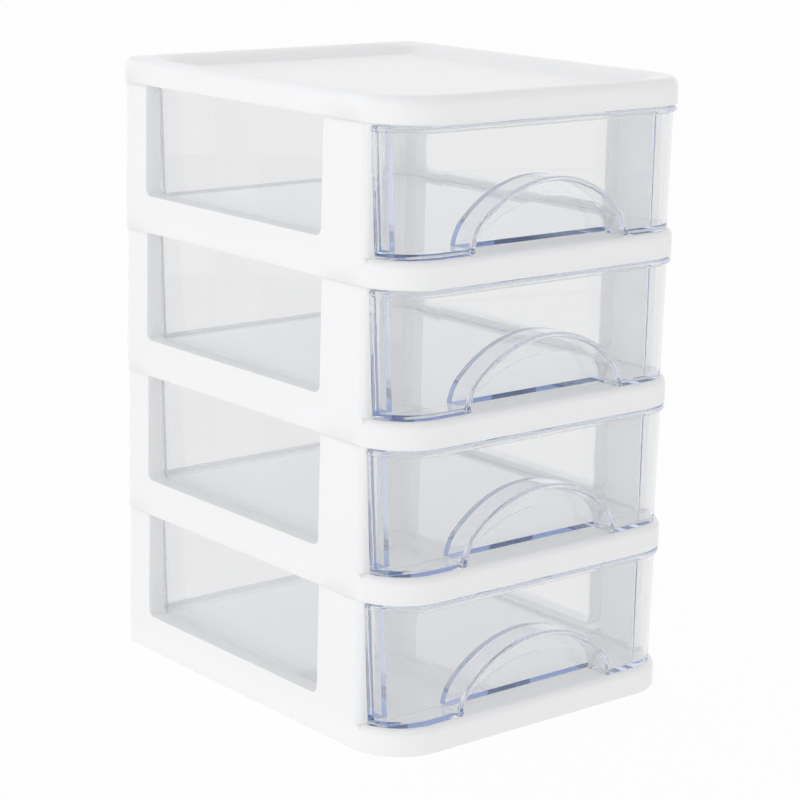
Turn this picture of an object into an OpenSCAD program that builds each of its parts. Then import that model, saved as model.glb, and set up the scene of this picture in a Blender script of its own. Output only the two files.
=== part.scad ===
// Desktop mini drawers: four white tiers stacked under a lid, with a clear drawer in each tier.
// Every tier is one moulding, a deck with side walls and posts. It plugs up into the skirt above.
// Millimetres. Z is up, the drawers open towards -Y, and the origin is the centre of the footprint.

/* [Body] */
// Width over the side walls
body_w = 183; // [165:1:230]
// Depth from the front lip to the rear wall
body_d = 217; // [190:1:280]
// Height that one tier adds to the stack
tier_h = 72; // [64:1:100]
// Plan radius of the two front corners
front_r = 27; // [20:0.5:34]
// Plan radius of the two rear corners
rear_r = 5.5; // [5:0.5:9]
// Wall thickness of the white mouldings
wall = 2; // [1.6:0.1:2.4]
// How far a tier's walls lean in between its deck and its top
wall_lean = 0.8; // [0.2:0.1:1.2]

/* [Deck] */
// Height of the deck's front lip above the bottom edge of its tier
deck_h = 12.5; // [11:0.5:16]
// Thickness of the deck plate
deck_t = 2; // [1.6:0.1:3]
// Rounding along the top edge of the deck's lip
lip_r = 3.5; // [2:0.5:4.5]
// Rise of the deck's floor behind the lip
deck_step = 0.6; // [0.3:0.1:1]
// Distance from the front of the lip to that rise
deck_step_in = 15.5; // [13:0.5:18]

/* [Side walls] */
// Distance from the front to the front posts
post_in = 22.5; // [21:0.5:26]
// Rounding of the outer front edge of a front post
post_r = 3; // [2:0.5:4]
// Distance from the front to the side windows
window_in = 54; // [44:1:70]
// Distance from the rear to the side windows
window_out = 21.5; // [16:0.5:40]
// Height of the window sills above the bottom edge of the tier
sill_h = 18.3; // [17:0.1:24]
// Radius of a window's two lower corners
window_r = 4; // [2:0.5:8]
// Depth of the flanges that turn inwards round a window and down a post
flange_w = 9; // [7.5:0.5:11]
// Radius of the rounded top inner corner of a window's flange
flange_r = 7; // [4:0.5:7.5]

/* [Rear wall] */
// Width of the rear wall that is left beside the rear opening
rear_return = 34; // [24:1:44]
// Radius of the rear opening's two lower corners
rear_open_r = 12; // [4:1:18]

/* [Tongues] */
// Height of the tongues that plug up into the skirt above
tongue_h = 5; // [3:0.5:6]
// Thickness of a tongue
tongue_t = 1.8; // [1.4:0.1:2.4]
// Clearance between a tongue and the skirt that it plugs into
tongue_gap = 0.3; // [0.15:0.05:0.5]

/* [Lid] */
// Height of the lid
lid_h = 12.5; // [11:0.5:16]
// Rounding along the top edge of the lid
lid_r = 4.5; // [2.5:0.5:5]
// Depth of the tray that is sunk into the lid
tray_depth = 5; // [3:0.5:6]
// Distance from the edge of the lid to the flat floor of the tray
tray_in = 18; // [16:0.5:26]
// Radius of the tray's floor at its two front corners
tray_front_r = 9; // [3:1:20]
// Radius of the tray's floor at its two rear corners
tray_rear_r = 6; // [3:1:20]
// Distance from the edge of the lid to where its rim turns down into the tray
tray_rim = 12; // [9:0.5:13]
// Fall of the rim between its crest and that turn
rim_fall = 1.2; // [0.5:0.1:2]

/* [Drawer] */
// Wall and floor thickness of the clear drawers
drawer_t = 2; // [1.6:0.1:2.4]
// Running clearance between a drawer and the flanges at its sides
side_gap = 0.8; // [0.5:0.1:1.5]
// Running clearance between a drawer and the deck under it
floor_gap = 0.3; // [0.2:0.05:0.5]
// Clearance between a drawer's rim and the skirt above it
rim_gap = 1; // [0.6:0.1:2]
// Clearance between a drawer and the rear wall
rear_gap = 8; // [3:0.5:14]
// How far a drawer's walls lean in between its rim and its floor
drawer_lean = 1.8; // [0.5:0.1:2.5]
// Radius of the drawer's two rear corners
drawer_rear_r = 10; // [6:0.5:16]
// How far the panel stands back from the lip above it
panel_in = 1.7; // [1.4:0.1:2.2]
// How far the panel leans in further between its rim and its foot
panel_lean = 0.9; // [0.3:0.1:1.2]
// Gap between the back of the panel's wings and the front posts
wing_gap = 0.8; // [0.5:0.1:2]
// Diameter of the round bead along the panel's top edge
bead_d = 2.8; // [2.2:0.1:3.4]

/* [Finger arch] */
// Width of the arch, between its feet
arch_w = 92; // [76:1:100]
// Height of the arch above the foot of the panel
arch_h = 29.5; // [26:0.5:34]
// Radius of the arch's two sides
arch_side_r = 18; // [14:1:22]
// Height of the mouth under the arch, which leaves a lip for the fingers
mouth_h = 22.5; // [18:0.5:24]
// Radius of the mouth's two sides
mouth_side_r = 13; // [10:1:16]
// Thickness of that lip
lip_t = 1.2; // [0.8:0.1:1.8]
// Depth of the recess behind the panel
arch_depth = 12.5; // [9:0.5:14]
// Diameter of the bead round the front edge of the arch
arch_bead_d = 2.4; // [1.6:0.1:3]

/* [Hidden] */
$fn = 64;
over = 0.5;                                // overshoot of a cutting shape past the face that it cuts
half_w = body_w / 2;
front_y = -body_d / 2;
rear_y = body_d / 2;
plate_z = deck_h - deck_t;                 // underside of the deck plate
floor_z = deck_h + deck_step;              // the deck's floor, which the drawer slides on
step_y = front_y + deck_step_in;
post_y = front_y + post_in;
window_y0 = front_y + window_in;
window_y1 = rear_y - window_out;
lean_angle = atan(wall_lean / (tier_h - deck_h));
skin_x = (wall + wall_lean) / 2;           // a depth inside the leaning wall, where the flanges start
tongue_in = wall + tongue_gap;             // outer face of a tongue, from the side of the body
tongue_root = 7;                           // length of a tongue below the top of its tier

drawer_z0 = deck_h + floor_gap;            // foot of the panel
drawer_floor_z = floor_z + floor_gap;      // underside of the drawer's floor
drawer_z1 = tier_h - rim_gap;              // top of the rim
drawer_x = half_w - flange_w - side_gap;   // outer half width of the box at its rim
drawer_y1 = rear_y - wall - wall_lean - rear_gap;
drawer_y0 = step_y - floor_gap;            // front of the box's floor, just clear of the deck's rise
wing_y = post_y - wing_gap;                // back of the panel's wings at the rim
bead_r = bead_d / 2;

face_y = front_y + panel_in + panel_lean;  // front face of the panel at its foot
recess_y = face_y + arch_depth;
arch_bead_r = arch_bead_d / 2;

// Extrudes an X-Z profile along Y, and a Y-Z profile along X
module along_y(y0, y1) {
    translate([0, y1, 0]) rotate([90, 0, 0]) linear_extrude(height = y1 - y0) children();
}
module along_x(x0, x1) {
    translate([x0, 0, 0]) rotate([90, 0, 90]) linear_extrude(height = x1 - x0) children();
}
module both_sides() {
    children();
    mirror([1, 0, 0]) children();
}

// ---- White mouldings ----

// A block inside the unit's outline, by in0 all round at z0 and by in1 at z1.
// The centres of its front corners stand front_c in from that outline, those of its rear ones rear_c.
module round_block(front_c, rear_c, z0, z1, in0, in1) {
    both_sides() {
        translate([half_w - front_c, front_y + front_c, z0])
            cylinder(h = z1 - z0, r1 = front_c - in0, r2 = front_c - in1);
        translate([half_w - rear_c, rear_y - rear_c, z0])
            cylinder(h = z1 - z0, r1 = rear_c - in0, r2 = rear_c - in1);
    }
    along_y(front_y + front_c, rear_y - rear_c)
        polygon([[in0 - half_w, z0], [half_w - in0, z0], [half_w - in1, z1], [in1 - half_w, z1]]);
    along_x(front_c - half_w, half_w - front_c)
        polygon([[front_y + in0, z0], [0, z0], [0, z1], [front_y + in1, z1]]);
    along_x(rear_c - half_w, half_w - rear_c)
        polygon([[0, z0], [rear_y - in0, z0], [rear_y - in1, z1], [0, z1]]);
}
module body_block(z0, z1, in0, in1) {
    round_block(front_r, rear_r, z0, z1, in0, in1);
}

// The same outline with upright sides and a rounded top edge
module soft_block(h, r) {
    body_block(0, h - r, 0, 0);
    body_block(0, h, r, r);
    both_sides() {
        translate([half_w - front_r, front_y + front_r, h - r]) corner_ring(front_r, r);
        translate([half_w - rear_r, rear_y - rear_r, h - r]) corner_ring(rear_r, r);
        translate([half_w - r, front_y + front_r, h - r])
            rotate([-90, 0, 0]) cylinder(h = body_d - front_r - rear_r, r = r);
    }
    translate([front_r - half_w, front_y + r, h - r])
        rotate([0, 90, 0]) cylinder(h = body_w - 2 * front_r, r = r);
    translate([rear_r - half_w, rear_y - r, h - r])
        rotate([0, 90, 0]) cylinder(h = body_w - 2 * rear_r, r = r);
}
module corner_ring(outer_r, r) {
    rotate_extrude() intersection() {
        translate([outer_r - r, 0]) circle(r);
        square([outer_r, r]);
    }
}

// A tier's outer walls, upright beside the deck and leaning in above it
module walls() {
    difference() {
        union() {
            body_block(0, deck_h, 0, 0);
            body_block(deck_h, tier_h, 0, wall_lean);
        }
        body_block(-over, deck_h, wall, wall);
        body_block(deck_h, 2 * tier_h - deck_h, wall, wall + 2 * wall_lean);
        translate([-body_w, front_y - over, -over])
            cube([2 * body_w, post_in + over, tier_h + 2 * over]);
    }
}

// Outline of a window, open at the top, or of its flange where it is grown by the wall
module window_outline(grow, top) {
    r = window_r + grow;
    y0 = window_y0 - grow;
    y1 = window_y1 + grow;
    z0 = sill_h - grow;
    for (y = [y0 + r, y1 - r]) translate([y, z0 + r]) circle(r);
    translate([y0 + r, z0]) square([y1 - y0 - 2 * r, 2 * r]);
    translate([y0, z0 + r]) square([y1 - y0, top - z0 - r]);
}

// The flanges of one side: round the window, and across the front of the front post.
// Below the sill they close down to the deck, which gives the drawer a guide to run along.
module side_flanges() {
    along_x(skin_x - half_w, flange_w - half_w) window_outline(wall, tier_h);
    translate([skin_x - half_w, window_y0 - wall, plate_z])
        cube([flange_w - skin_x, window_y1 - window_y0 + 2 * wall, sill_h - plate_z - window_r]);
    translate([skin_x - half_w, post_y, plate_z])
        cube([flange_w - skin_x, wall, tier_h - plate_z]);
}

// The hollow under a sill, open below
module sill_hollow() {
    translate([wall - half_w, window_y0, plate_z - over])
        cube([flange_w - 2 * wall, window_y1 - window_y0, sill_h - wall - plate_z + over]);
}

// Rounds the top inner corners of the window's flanges, under the skirt of the tier above
module flange_corner() {
    translate([flange_w - half_w, 0, tier_h]) difference() {
        along_y(window_y0 - wall - over, window_y1 + wall + over)
            translate([-flange_r, -flange_r]) square(flange_r + over);
        along_y(window_y0 - wall - 2 * over, window_y1 + wall + 2 * over)
            translate([-flange_r, -flange_r]) circle(flange_r);
    }
}

// Rounds the outer front edge of a front post, from its front to the unit's rounded corner, along
// its leaning face
module post_edge() {
    skim = 0.05;                           // what it takes off where it meets that corner
    drop_y = front_r - post_in - post_r;
    edge_x = front_r - sqrt(pow(front_r - post_r, 2) - pow(drop_y, 2)) - post_r + skim;
    meet_y = post_r - drop_y * post_r / (front_r - post_r);
    translate([edge_x - half_w, post_y, deck_h]) rotate([0, lean_angle, 0]) difference() {
        translate([-post_r, -over, 0]) cube([2 * post_r, meet_y + over, tier_h]);
        translate([post_r, post_r, -over]) cylinder(h = tier_h + 2 * over, r = post_r);
    }
}

// Tongues on the tops of the two posts of one side
module tongues() {
    inner = wall + over;
    for (span = [[post_y + 2 * inner, window_y0 - 2 * inner], [window_y1 + inner, rear_y - rear_r]])
        translate([tongue_in - half_w, span[0], tier_h - tongue_root])
            cube([tongue_t, span[1] - span[0], tongue_root + tongue_h]);
}

// Opening in the rear wall, which leaves a return at each rear corner
module rear_opening() {
    x = half_w - rear_return;
    r = rear_open_r;
    along_y(rear_y - wall - wall_lean - over, rear_y + over) {
        for (side = [-1, 1]) translate([side * (x - r), sill_h + r]) circle(r);
        translate([r - x, sill_h]) square([2 * (x - r), 2 * r]);
        translate([-x, sill_h + r]) square([2 * x, tier_h - sill_h - r + over]);
    }
}

module frame(level) {
    color("white") translate([0, 0, (level - 1) * tier_h]) difference() {
        union() {
            difference() {
                soft_block(deck_h, lip_r);
                body_block(-over, plate_z, wall, wall);
            }
            translate([flange_w - half_w, step_y, plate_z])
                cube([body_w - 2 * flange_w, rear_y - wall / 2 - step_y, floor_z - plate_z]);
            walls();
            both_sides() {
                side_flanges();
                tongues();
            }
        }
        both_sides() {
            along_x(-half_w - over, flange_w + over - half_w) window_outline(0, tier_h + over);
            sill_hollow();
            flange_corner();
            post_edge();
        }
        rear_opening();
    }
}

// The tray below its turn, where the rim slopes down to the flat floor; with grow, its underside.
// A slope that is moved out by 0.3 of what the floor is moved down stays about as thick.
module tray(grow) {
    out = 0.3 * grow;
    round_block(tray_in + tray_front_r, tray_in + tray_rear_r,
                lid_h - tray_depth - grow, lid_h - rim_fall, tray_in - out, tray_rim - out);
}

module lid() {
    crest_in = lid_r + 0.5;
    color("white") translate([0, 0, 4 * tier_h]) difference() {
        soft_block(lid_h, lid_r);
        tray(0);
        // from its crest to its turn the rim falls gently
        round_block(tray_in + tray_front_r, tray_in + tray_rear_r,
                    lid_h - rim_fall, lid_h + rim_fall, tray_rim, 2 * crest_in - tray_rim);
        difference() {
            body_block(-over, lid_h - rim_fall - wall, wall, wall);
            tray(wall);
        }
    }
}

// ---- Clear drawers ----

// The walls of a drawer lean in evenly between the rim and the foot of the panel. Its blocks are
// drawn from that foot to as far above the rim as the foot is below it, and cut to height.
lean_z1 = 2 * drawer_z1 - drawer_z0;
module cut_to(z0, z1) {
    intersection() {
        children();
        translate([-body_w, -body_d, z0]) cube([2 * body_w, 2 * body_d, z1 - z0]);
    }
}

// The full-width front of a drawer, with its wings, shrunk by inset
module panel_block(inset, z0, z1) {
    in0 = inset + panel_in + panel_lean;
    in1 = inset + panel_in - panel_lean;
    back0 = wing_y - inset - drawer_lean;
    back1 = wing_y - inset + drawer_lean;
    cut_to(z0, z1) {
        intersection() {
            both_sides() translate([half_w - front_r, front_y + front_r, drawer_z0])
                cylinder(h = lean_z1 - drawer_z0, r1 = front_r - in0, r2 = front_r - in1);
            along_x(-half_w, half_w)
                polygon([[front_y, drawer_z0], [back0, drawer_z0], [back1, lean_z1], [front_y, lean_z1]]);
        }
        along_x(front_r - half_w, half_w - front_r)
            polygon([[front_y + in0, drawer_z0], [back0, drawer_z0],
                     [back1, lean_z1], [front_y + in1, lean_z1]]);
    }
}

// The box behind that front, shrunk by inset
module box_block(inset, z0, z1) {
    r = drawer_rear_r;
    in0 = inset + drawer_lean;
    in1 = inset - drawer_lean;
    cut_to(z0, z1) {
        both_sides() translate([drawer_x - r, drawer_y1 - r, drawer_z0])
            cylinder(h = lean_z1 - drawer_z0, r1 = r - in0, r2 = r - in1);
        along_y(drawer_y0, drawer_y1 - r)
            polygon([[in0 - drawer_x, drawer_z0], [drawer_x - in0, drawer_z0],
                     [drawer_x - in1, lean_z1], [in1 - drawer_x, lean_z1]]);
        along_x(r - drawer_x, drawer_x - r)
            polygon([[0, drawer_z0], [drawer_y1 - in0, drawer_z0],
                     [drawer_y1 - in1, lean_z1], [0, lean_z1]]);
    }
}

// Round bead along the top edge of the panel, which ends in a ball at each wing
module rim_bead() {
    path_r = front_r - bead_r;
    end_angle = asin((front_y + front_r - wing_y + bead_r) / path_r);
    translate([0, 0, drawer_z1 - bead_r]) {
        both_sides() translate([half_w - front_r, front_y + front_r, 0]) {
            rotate([0, 0, -90]) rotate_extrude(angle = 90 - end_angle)
                translate([path_r, 0]) circle(bead_r);
            rotate([0, 0, -end_angle]) translate([path_r, 0, 0]) sphere(bead_r);
        }
        translate([front_r - half_w, front_y + bead_r, 0])
            rotate([0, 90, 0]) cylinder(h = body_w - 2 * front_r, r = bead_r);
    }
}

// The arch has a small arc at each side and a flat arc over its top. These give the distance of
// the side arcs' centres from the middle, and the radius of the flat arc.
function side_x(side_r) = arch_w / 2 - side_r;
function top_r(h, side_r) =
    (pow(h, 2) - pow(side_r, 2) + pow(side_x(side_r), 2)) / (2 * (h - side_r));

// A block with the outline of an arch, grown all round, from drop below the foot of the panel up
module arch_block(h, side_r, grow, drop, y0, y1) {
    a = arch_w / 2 + grow;
    x = side_x(side_r);
    reach = 3;                             // the sector of the flat arc goes on past that arc
    skim = 0.02;                           // makes it cross the side arcs instead of touching them
    r = top_r(h, side_r) - skim;
    centre_z = h - top_r(h, side_r);
    translate([0, 0, drawer_z0]) along_y(y0, y1) intersection() {
        union() {
            for (side = [-1, 1]) translate([side * x, 0]) circle(side_r + grow);
            intersection() {
                translate([0, centre_z]) circle(r + grow);
                polygon([[0, centre_z], [reach * x, centre_z * (1 - reach)],
                         [-reach * x, centre_z * (1 - reach)]]);
            }
            translate([-x, -h]) square([2 * x, h + side_r / 2]);
            translate([-a, -h]) square([2 * a, h]);
        }
        translate([-a, -drop]) square([2 * a, h + 2 * grow + drop]);
    }
}

// Round bead on the panel along the arch: three arcs, with balls where they meet and end
module arch_bead() {
    x = side_x(arch_side_r);
    centre_z = arch_h - top_r(arch_h, arch_side_r);
    flat_r = top_r(arch_h, arch_side_r) + drawer_t / 2;
    side_r = arch_side_r + drawer_t / 2;
    turn = atan2(-centre_z, x);            // where the arcs meet
    joint = 0.4;                           // a side arc stops this many degrees short of that
    joint_r = 1.06 * arch_bead_r;
    foot_r = 1.25 * arch_bead_r;
    foot_angle = asin(foot_r / side_r);
    face_in = panel_in + panel_lean * (drawer_z1 - drawer_z0 - arch_h / 2) / (drawer_z1 - drawer_z0);
    translate([0, front_y + face_in, drawer_z0])
        rotate([90, 0, 0]) {
            translate([0, centre_z, 0]) bead_arc(flat_r, turn + joint / 4, 180 - turn - joint / 4);
            both_sides() translate([x, 0, 0]) {
                bead_arc(side_r, foot_angle, turn - joint);
                rotate([0, 0, turn]) translate([side_r, 0, 0]) sphere(joint_r);
                rotate([0, 0, foot_angle]) translate([side_r, 0, 0]) sphere(foot_r);
            }
        }
}
module bead_arc(r, from, to) {
    rotate([0, 0, from]) rotate_extrude(angle = to - from) translate([r, 0]) circle(arch_bead_r);
}

module drawer(level) {
    rim_z = drawer_z1 + over;
    inner_z = drawer_floor_z + drawer_t;
    color([0.84, 0.88, 0.93, 0.45]) translate([0, 0, (level - 1) * tier_h]) {
        difference() {
            union() {
                difference() {
                    union() {
                        panel_block(0, drawer_z0, drawer_z1);
                        box_block(0, drawer_floor_z, drawer_z1);
                    }
                    panel_block(drawer_t, inner_z, rim_z);
                    box_block(drawer_t, inner_z, rim_z);
                }
                arch_block(arch_h, arch_side_r, drawer_t, 0, face_y + drawer_t / 2, recess_y + drawer_t);
                rim_bead();
                arch_bead();
            }
            arch_block(arch_h, arch_side_r, 0, over, face_y + lip_t, recess_y);
            arch_block(mouth_h, mouth_side_r, 0, over, front_y - over, recess_y - over);
            // the underside steps up where the deck does
            translate([flange_w - half_w - floor_gap, drawer_y0, 0])
                cube([body_w - 2 * flange_w + 2 * floor_gap, post_in, drawer_floor_z]);
        }
    }
}

lid();
frame(1);  // frame_1
frame(2);  // frame_2
frame(3);  // frame_3
frame(4);  // frame_4
drawer(1);  // drawer_1
drawer(2);  // drawer_2
drawer(3);  // drawer_3
drawer(4);  // drawer_4
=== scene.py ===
import math

import bmesh
import bpy
from mathutils import Matrix


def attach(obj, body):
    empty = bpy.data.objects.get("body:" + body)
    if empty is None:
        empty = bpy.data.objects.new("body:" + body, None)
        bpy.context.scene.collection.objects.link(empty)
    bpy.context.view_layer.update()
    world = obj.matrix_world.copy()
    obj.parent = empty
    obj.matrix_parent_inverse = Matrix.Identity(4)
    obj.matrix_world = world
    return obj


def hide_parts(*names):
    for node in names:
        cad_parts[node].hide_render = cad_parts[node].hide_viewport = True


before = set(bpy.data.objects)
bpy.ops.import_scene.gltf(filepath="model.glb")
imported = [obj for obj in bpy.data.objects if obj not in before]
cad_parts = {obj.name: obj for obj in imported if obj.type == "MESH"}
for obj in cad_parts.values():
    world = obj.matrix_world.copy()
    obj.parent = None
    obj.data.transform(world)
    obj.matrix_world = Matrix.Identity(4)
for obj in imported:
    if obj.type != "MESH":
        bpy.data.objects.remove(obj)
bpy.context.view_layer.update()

# ---- The four tiers ----
# White polypropylene mouldings, each a deck with its side walls, posts and rear returns in one
# piece. They come from one mould and plug on top of each other. The tool's faces are satin, with
# every edge broken by a small radius.


def moulded_copy(node):
    """A copy of a moulding, with its loose triangles merged into whole faces."""
    same_point = 1e-5
    same_plane = math.radians(0.15)
    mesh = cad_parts[node].data.copy()
    bm = bmesh.new()
    bm.from_mesh(mesh)
    bmesh.ops.remove_doubles(bm, verts=bm.verts, dist=same_point)
    bmesh.ops.dissolve_limit(bm, angle_limit=same_plane, verts=bm.verts, edges=bm.edges,
                             use_dissolve_boundaries=False, delimit=set())
    return mesh, bm


def finish_moulding(node, mesh, bm, material, body):
    """Shades the moulding smooth up to its real edges and lets it stand for its node."""
    sharp = math.radians(28)
    for face in bm.faces:
        face.smooth = True
    for edge in bm.edges:
        edge.smooth = not (edge.is_manifold and edge.calc_face_angle(0) > sharp)
    bm.to_mesh(mesh)
    bm.free()
    mesh.name = node + "_moulding"
    mesh.materials.clear()
    mesh.materials.append(material)
    piece = bpy.data.objects.new(node + "_moulding", mesh)
    bpy.context.scene.collection.objects.link(piece)
    even = piece.modifiers.new("even shading", "WEIGHTED_NORMAL")
    even.keep_sharp = True
    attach(piece, body)
    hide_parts(node)


def new_material(name):
    """An empty node material with its output, its shader and the object's own coordinates."""
    material = bpy.data.materials.new(name)
    material.use_nodes = True
    nodes, links = material.node_tree.nodes, material.node_tree.links
    nodes.clear()
    out = nodes.new("ShaderNodeOutputMaterial")
    shader = nodes.new("ShaderNodeBsdfPrincipled")
    place = nodes.new("ShaderNodeTexCoord")
    links.new(shader.outputs["BSDF"], out.inputs["Surface"])
    return material, nodes, links, shader, place, out


def spread(nodes, links, value, low, high, start=0.0, end=1.0):
    """Spreads a value that runs from start to end over the range from low to high."""
    node = nodes.new("ShaderNodeMapRange")
    node.inputs["From Min"].default_value = start
    node.inputs["From Max"].default_value = end
    node.inputs["To Min"].default_value = low
    node.inputs["To Max"].default_value = high
    links.new(value, node.inputs["Value"])
    return node.outputs["Result"]


# The mould's surface: a fine even grain with a slow unevenness of flow, used by both plastics
surface = bpy.data.node_groups.new("moulded surface", "ShaderNodeTree")
surface.interface.new_socket("Place", in_out="INPUT", socket_type="NodeSocketVector")
surface.interface.new_socket("Grain", in_out="OUTPUT", socket_type="NodeSocketFloat")
surface.interface.new_socket("Flow", in_out="OUTPUT", socket_type="NodeSocketFloat")
group_in = surface.nodes.new("NodeGroupInput")
group_out = surface.nodes.new("NodeGroupOutput")
for output, scale, detail in (("Grain", 1400, 3), ("Flow", 14, 2)):
    noise = surface.nodes.new("ShaderNodeTexNoise")
    noise.inputs["Scale"].default_value = scale
    noise.inputs["Detail"].default_value = detail
    surface.links.new(group_in.outputs["Place"], noise.inputs["Vector"])
    surface.links.new(noise.outputs["Fac"], group_out.inputs[output])

white, nodes, links, shader, place, out = new_material("white satin polypropylene")
skin = nodes.new("ShaderNodeGroup")
skin.node_tree = surface
links.new(place.outputs["Object"], skin.inputs["Place"])
tone = nodes.new("ShaderNodeMix")
tone.data_type = "RGBA"
tone.inputs["A"].default_value = (0.932, 0.934, 0.938, 1)
tone.inputs["B"].default_value = (0.945, 0.947, 0.950, 1)
links.new(skin.outputs["Flow"], tone.inputs["Factor"])
links.new(tone.outputs["Result"], shader.inputs["Base Color"])
links.new(spread(nodes, links, skin.outputs["Flow"], 0.34, 0.46), shader.inputs["Roughness"])
edge_round = nodes.new("ShaderNodeBevel")
edge_round.samples = 4
edge_round.inputs["Radius"].default_value = 0.0005
bump = nodes.new("ShaderNodeBump")
bump.inputs["Strength"].default_value = 0.08
bump.inputs["Distance"].default_value = 0.0001
links.new(skin.outputs["Grain"], bump.inputs["Height"])
links.new(edge_round.outputs["Normal"], bump.inputs["Normal"])
links.new(bump.outputs["Normal"], shader.inputs["Normal"])
shader.inputs["IOR"].default_value = 1.5
# thin walls of this plastic let some light through
shader.inputs["Subsurface Weight"].default_value = 0.5
shader.inputs["Subsurface Radius"].default_value = (1.0, 0.98, 0.95)
shader.inputs["Subsurface Scale"].default_value = 0.004

# At the rear a tier is open down to a low lip, between two narrow returns. The cutter's box runs
# right through the rear wall and has the opening's two rounded lower corners.
tier_height = 0.072
opening_width, opening_height, opening_corner = 0.143, 0.060, 0.004
opening_middle = 0.045
rear_wall_y, cutter_depth = 0.1075, 0.006

for level in (1, 2, 3, 4):
    bm = bmesh.new()
    bmesh.ops.create_cube(bm, size=1)
    bmesh.ops.scale(bm, vec=(opening_width, cutter_depth, opening_height), verts=bm.verts)
    lower = [edge for edge in bm.edges if all(v.co.z < 0 for v in edge.verts)
             and abs(edge.verts[0].co.y - edge.verts[1].co.y) > cutter_depth / 2]
    bmesh.ops.bevel(bm, geom=lower, offset=opening_corner, offset_type="OFFSET", affect="EDGES",
                    segments=6, profile=0.5, material=-1)
    height = opening_middle + (level - 1) * tier_height
    bmesh.ops.translate(bm, vec=(0, rear_wall_y, height), verts=bm.verts)
    opening_mesh = bpy.data.meshes.new("rear_opening")
    bm.to_mesh(opening_mesh)
    bm.free()
    opening = bpy.data.objects.new("rear_opening", opening_mesh)

    mesh, bm = moulded_copy(f"frame_{level}")
    bm.to_mesh(mesh)
    bm.free()
    blank = bpy.data.objects.new("blank", mesh)
    for piece in (opening, blank):
        bpy.context.scene.collection.objects.link(piece)
    cut = blank.modifiers.new("rear opening", "BOOLEAN")
    cut.operation = "DIFFERENCE"
    cut.solver = "EXACT"
    cut.object = opening
    bpy.context.view_layer.update()
    evaluated = blank.evaluated_get(bpy.context.evaluated_depsgraph_get())
    mesh = bpy.data.meshes.new_from_object(evaluated)
    for piece in (opening, blank):
        bpy.data.objects.remove(piece)
    bm = bmesh.new()
    bm.from_mesh(mesh)
    finish_moulding(f"frame_{level}", mesh, bm, white, "carcass")

# ---- The lid ----
# The same white polypropylene, one moulding with a sunk tray and a rounded rim, pressed over the
# tongues of the top tier.

mesh, bm = moulded_copy("lid")
finish_moulding("lid", mesh, bm, white, "carcass")

# ---- The clear drawers ----
# Crystal polystyrene, injected in one piece, with a faint blue tint that gathers in its edges. The
# polished mould leaves them glossy. Each slides on the deck of its own tier.


def either(nodes, links, first, second):
    """One where either of two masks is one."""
    node = nodes.new("ShaderNodeMath")
    node.operation = "MAXIMUM"
    links.new(first, node.inputs[0])
    links.new(second, node.inputs[1])
    return node.outputs["Value"]


def choice(nodes, links, mask, first, second):
    """The first shader where the mask is zero, and the second where it is one."""
    node = nodes.new("ShaderNodeMixShader")
    links.new(mask, node.inputs["Fac"])
    links.new(first, node.inputs[1])
    links.new(second, node.inputs[2])
    return node.outputs["Shader"]


clear, nodes, links, shader, place, out = new_material("clear polystyrene")
shader.inputs["Base Color"].default_value = (0.995, 0.995, 0.995, 1)
shader.inputs["Transmission Weight"].default_value = 1.0
shader.inputs["IOR"].default_value = 1.55
skin = nodes.new("ShaderNodeGroup")
skin.node_tree = surface
links.new(place.outputs["Object"], skin.inputs["Place"])
links.new(spread(nodes, links, skin.outputs["Flow"], 0.004, 0.02), shader.inputs["Roughness"])
ray = nodes.new("ShaderNodeLightPath")
# light that is caught in the plastic leaves it tinted, as at the end of a long way through it
caught_after = 9
caught = nodes.new("ShaderNodeMath")
caught.operation = "GREATER_THAN"
caught.inputs[1].default_value = caught_after
links.new(ray.outputs["Ray Depth"], caught.inputs[0])
straight = nodes.new("ShaderNodeBsdfTransparent")
straight.inputs["Color"].default_value = (0.70, 0.74, 0.83, 1)
plastic = choice(nodes, links, caught.outputs["Value"], shader.outputs["BSDF"],
                 straight.outputs["BSDF"])
# light passes through to what is in and behind the drawer
through = nodes.new("ShaderNodeBsdfTransparent")
through.inputs["Color"].default_value = (0.997, 0.997, 0.997, 1)
passes = either(nodes, links, ray.outputs["Is Shadow Ray"], ray.outputs["Is Diffuse Ray"])
links.new(choice(nodes, links, passes, plastic, through.outputs["BSDF"]), out.inputs["Surface"])
tint = nodes.new("ShaderNodeVolumeAbsorption")
tint.inputs["Color"].default_value = (0.12, 0.25, 0.48, 1)
tint.inputs["Density"].default_value = 6
links.new(tint.outputs["Volume"], out.inputs["Volume"])

for level in (1, 2, 3, 4):
    mesh, bm = moulded_copy(f"drawer_{level}")
    finish_moulding(f"drawer_{level}", mesh, bm, clear, f"drawer_{level}")

# ---- The table ----
# A plain white table that gives part of its light itself, as a light table does. It shows nearly
# white to the camera and still takes the object's shadow.

table_half = 15
bm = bmesh.new()
bmesh.ops.create_grid(bm, x_segments=2, y_segments=2, size=table_half)
table_mesh = bpy.data.meshes.new("table")
bm.to_mesh(table_mesh)
bm.free()
table = bpy.data.objects.new("table", table_mesh)
bpy.context.scene.collection.objects.link(table)
paper, nodes, links, shader, place, out = new_material("white paper")
shader.inputs["Base Color"].default_value = (0.92, 0.92, 0.92, 1)
shader.inputs["Roughness"].default_value = 0.9
ray = nodes.new("ShaderNodeLightPath")
glow = nodes.new("ShaderNodeEmission")
seen_through = ray.outputs["Is Transmission Ray"]
# painted shade: seen through the plastic, the table glows dimmer than it does to the camera
links.new(spread(nodes, links, seen_through, 1.0, 0.85), glow.inputs["Strength"])
seen = either(nodes, links, ray.outputs["Is Camera Ray"], seen_through)
seen = either(nodes, links, seen, ray.outputs["Is Glossy Ray"])
share = spread(nodes, links, seen, 0.52, 0.95)
links.new(choice(nodes, links, share, shader.outputs["BSDF"], glow.outputs["Emission"]),
          out.inputs["Surface"])
table_mesh.materials.append(paper)

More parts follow.
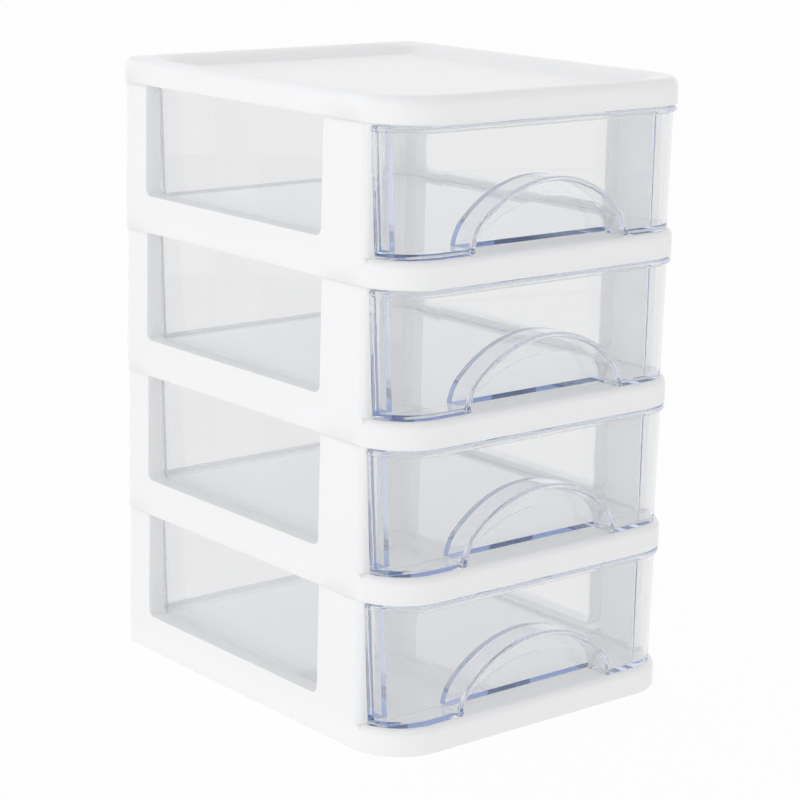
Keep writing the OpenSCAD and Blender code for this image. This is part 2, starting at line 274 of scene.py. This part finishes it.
# ---- The light ----
# A light tent: an even white surround, brighter at its back and its walls than at its front and
# its roof, with one soft lamp above, one at the left front corner and one behind.

world = bpy.data.worlds.new("light tent")
bpy.context.scene.world = world
world.use_nodes = True
nodes, links = world.node_tree.nodes, world.node_tree.links
nodes.clear()
world_out = nodes.new("ShaderNodeOutputWorld")
heading = nodes.new("ShaderNodeTexCoord")
towards = nodes.new("ShaderNodeVectorMath")
towards.operation = "DOT_PRODUCT"
towards.inputs[1].default_value = (-0.22, 0.97, 0.0)
links.new(heading.outputs["Generated"], towards.inputs[0])
upright = nodes.new("ShaderNodeSeparateXYZ")
links.new(heading.outputs["Generated"], upright.inputs[0])
strength = nodes.new("ShaderNodeMath")
strength.operation = "MULTIPLY"
front_to_back = spread(nodes, links, towards.outputs["Value"], 0.70, 1.27, start=-1)
wall_to_roof = spread(nodes, links, upright.outputs["Z"], 1.2, 0.61)
links.new(front_to_back, strength.inputs[0])
links.new(wall_to_roof, strength.inputs[1])
tent = nodes.new("ShaderNodeBackground")
tent.inputs["Color"].default_value = (0.99, 0.992, 1.0, 1)
links.new(strength.outputs["Value"], tent.inputs["Strength"])
backdrop = nodes.new("ShaderNodeBackground")
backdrop.inputs["Color"].default_value = (1, 1, 1, 1)
backdrop.inputs["Strength"].default_value = 1.0
# through the plastic the open front of the tent shows dimmer than its back
seen_in_plastic = nodes.new("ShaderNodeBackground")
seen_in_plastic.inputs["Color"].default_value = (0.985, 0.99, 1.0, 1)
links.new(spread(nodes, links, towards.outputs["Value"], 0.45, 0.93, start=-0.7, end=0.2),
          seen_in_plastic.inputs["Strength"])
ray = nodes.new("ShaderNodeLightPath")
plain = choice(nodes, links, ray.outputs["Is Camera Ray"], tent.outputs["Background"],
               backdrop.outputs["Background"])
links.new(choice(nodes, links, ray.outputs["Is Transmission Ray"], plain,
                 seen_in_plastic.outputs["Background"]), world_out.inputs["Surface"])


def softbox(name, place, size, watts, tilt, turn, shown=True):
    """A square lamp at place, tilted from straight down and then turned about the upright."""
    lamp = bpy.data.lights.new(name, "AREA")
    lamp.shape = "SQUARE"
    lamp.size = size
    lamp.energy = watts
    stand = bpy.data.objects.new(name, lamp)
    stand.matrix_world = (Matrix.Translation(place)
                          @ Matrix.Rotation(math.radians(turn), 4, "Z")
                          @ Matrix.Rotation(math.radians(tilt), 4, "X"))
    stand.visible_camera = False
    stand.visible_transmission = False
    stand.visible_glossy = shown
    bpy.context.scene.collection.objects.link(stand)


softbox("lamp_above", (0.1, -0.2, 1.6), size=1.4, watts=1, tilt=0, turn=0)
softbox("lamp_left", (-0.75, -0.5, 0.12), size=0.5, watts=0.62, tilt=90, turn=-59)
softbox("lamp_back", (0.35, 1.25, 0.1), size=0.9, watts=1, tilt=90, turn=165, shown=False)

# ---- The camera ----
# It stands in front of the left corner and a little above, as in the photograph. Light has to get
# through up to eight clear walls on its way in and out, so its bounces are many.

camera_place = (-0.7298, -0.8931, 0.4138)
camera_turn, camera_dip, camera_roll = -39.31, 13.575, 1.019
lens = bpy.data.cameras.new("camera")
lens.sensor_width = 36
lens.lens = 107.79
lens.shift_x = -0.0022
lens.shift_y = 0.0012
camera = bpy.data.objects.new("camera", lens)
camera.matrix_world = (Matrix.Translation(camera_place)
                       @ Matrix.Rotation(math.radians(camera_turn), 4, "Z")
                       @ Matrix.Rotation(math.radians(90 - camera_dip), 4, "X")
                       @ Matrix.Rotation(math.radians(camera_roll), 4, "Z"))
scene = bpy.context.scene
scene.collection.objects.link(camera)
scene.camera = camera
scene.view_settings.view_transform = "Standard"
scene.cycles.max_bounces = 32
scene.cycles.transmission_bounces = 20
scene.cycles.glossy_bounces = 20
scene.cycles.diffuse_bounces = 10
scene.cycles.transparent_max_bounces = 64

bpy.context.view_layer.update()
